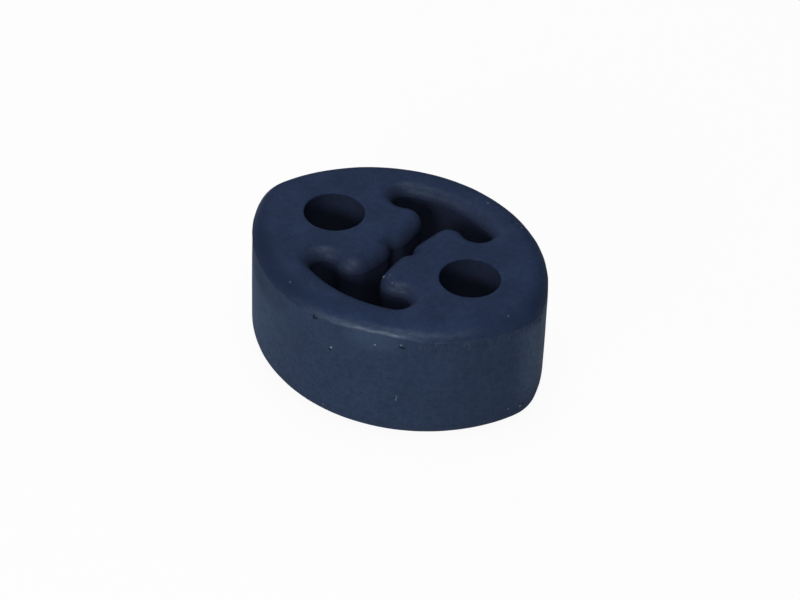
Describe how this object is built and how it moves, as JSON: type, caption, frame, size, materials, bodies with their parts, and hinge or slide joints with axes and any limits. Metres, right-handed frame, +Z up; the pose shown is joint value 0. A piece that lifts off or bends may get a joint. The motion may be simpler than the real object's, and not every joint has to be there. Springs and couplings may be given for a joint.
{
  "type": "exhaust mount",
  "caption": "Lens-shaped moulded rubber block with rod bores and an H-shaped through slot, for hanging a car's exhaust pipe from its underbody.",
  "frame": {"origin": "centre of the flat underside", "axes": "+X through both rod bores' centres, +Y towards a side band, +Z up, square to the two flat faces and along the bores"},
  "size_m": [0.0644, 0.0516, 0.027],
  "materials": {
    "rubber": "satin navy blue-black moulded rubber with a faint bloom"
  },
  "bodies": {
    "root": {"hanger_block": "rubber"}
  },
  "joints": []
}
